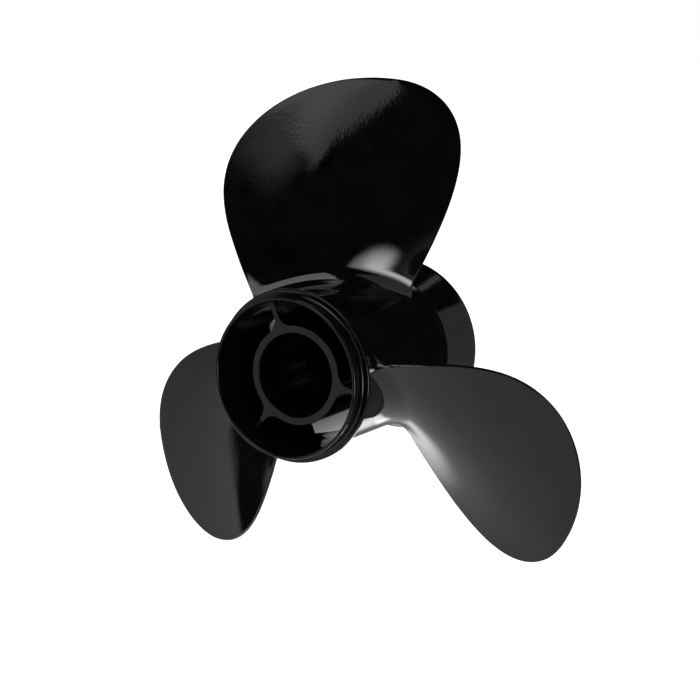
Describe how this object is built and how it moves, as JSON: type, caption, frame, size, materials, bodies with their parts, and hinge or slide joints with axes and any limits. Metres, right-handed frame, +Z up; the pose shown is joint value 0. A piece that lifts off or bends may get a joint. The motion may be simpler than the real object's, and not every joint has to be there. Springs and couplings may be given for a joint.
{
  "type": "outboard boat propeller",
  "caption": "Right-hand through-hub-exhaust boat propeller with broad raked blades, a ribbed hub, a flared aft ring and a rubber-bushed drive sleeve.",
  "frame": {"origin": "on the shaft axis, in the plane where the blades' middle lines meet the hub", "axes": "-Y forward along the shaft, out of the open spigot end; +Z up, along the first blade at rest; +X to the right seen from the forward end"},
  "size_m": [0.3337, 0.146, 0.3066],
  "materials": {
    "black_paint": "gloss black paint on cast aluminium",
    "bushing_rubber": "satin moulded rubber",
    "sleeve_metal": "machined steel, blackened"
  },
  "bodies": {
    "sleeve": {"drive_sleeve": "sleeve_metal"},
    "propeller": {"front_spigot_ring": "black_paint", "hub_barrel": "black_paint", "diffuser_ring": "black_paint", "inner_tube": "black_paint", "rib_1": "black_paint", "rib_2": "black_paint", "rib_3": "black_paint", "blade_1": "black_paint", "blade_2": "black_paint", "blade_3": "black_paint", "rubber_bushing": "bushing_rubber"}
  },
  "joints": [
    {"name": "bushing_twist", "type": "hinge", "parent": "sleeve", "child": "propeller", "pos_m": [0, 0, 0], "axis": [0, 1, 0], "range_deg": [-12, 12], "stiffness_Nm_per_rad": 600}
  ]
}
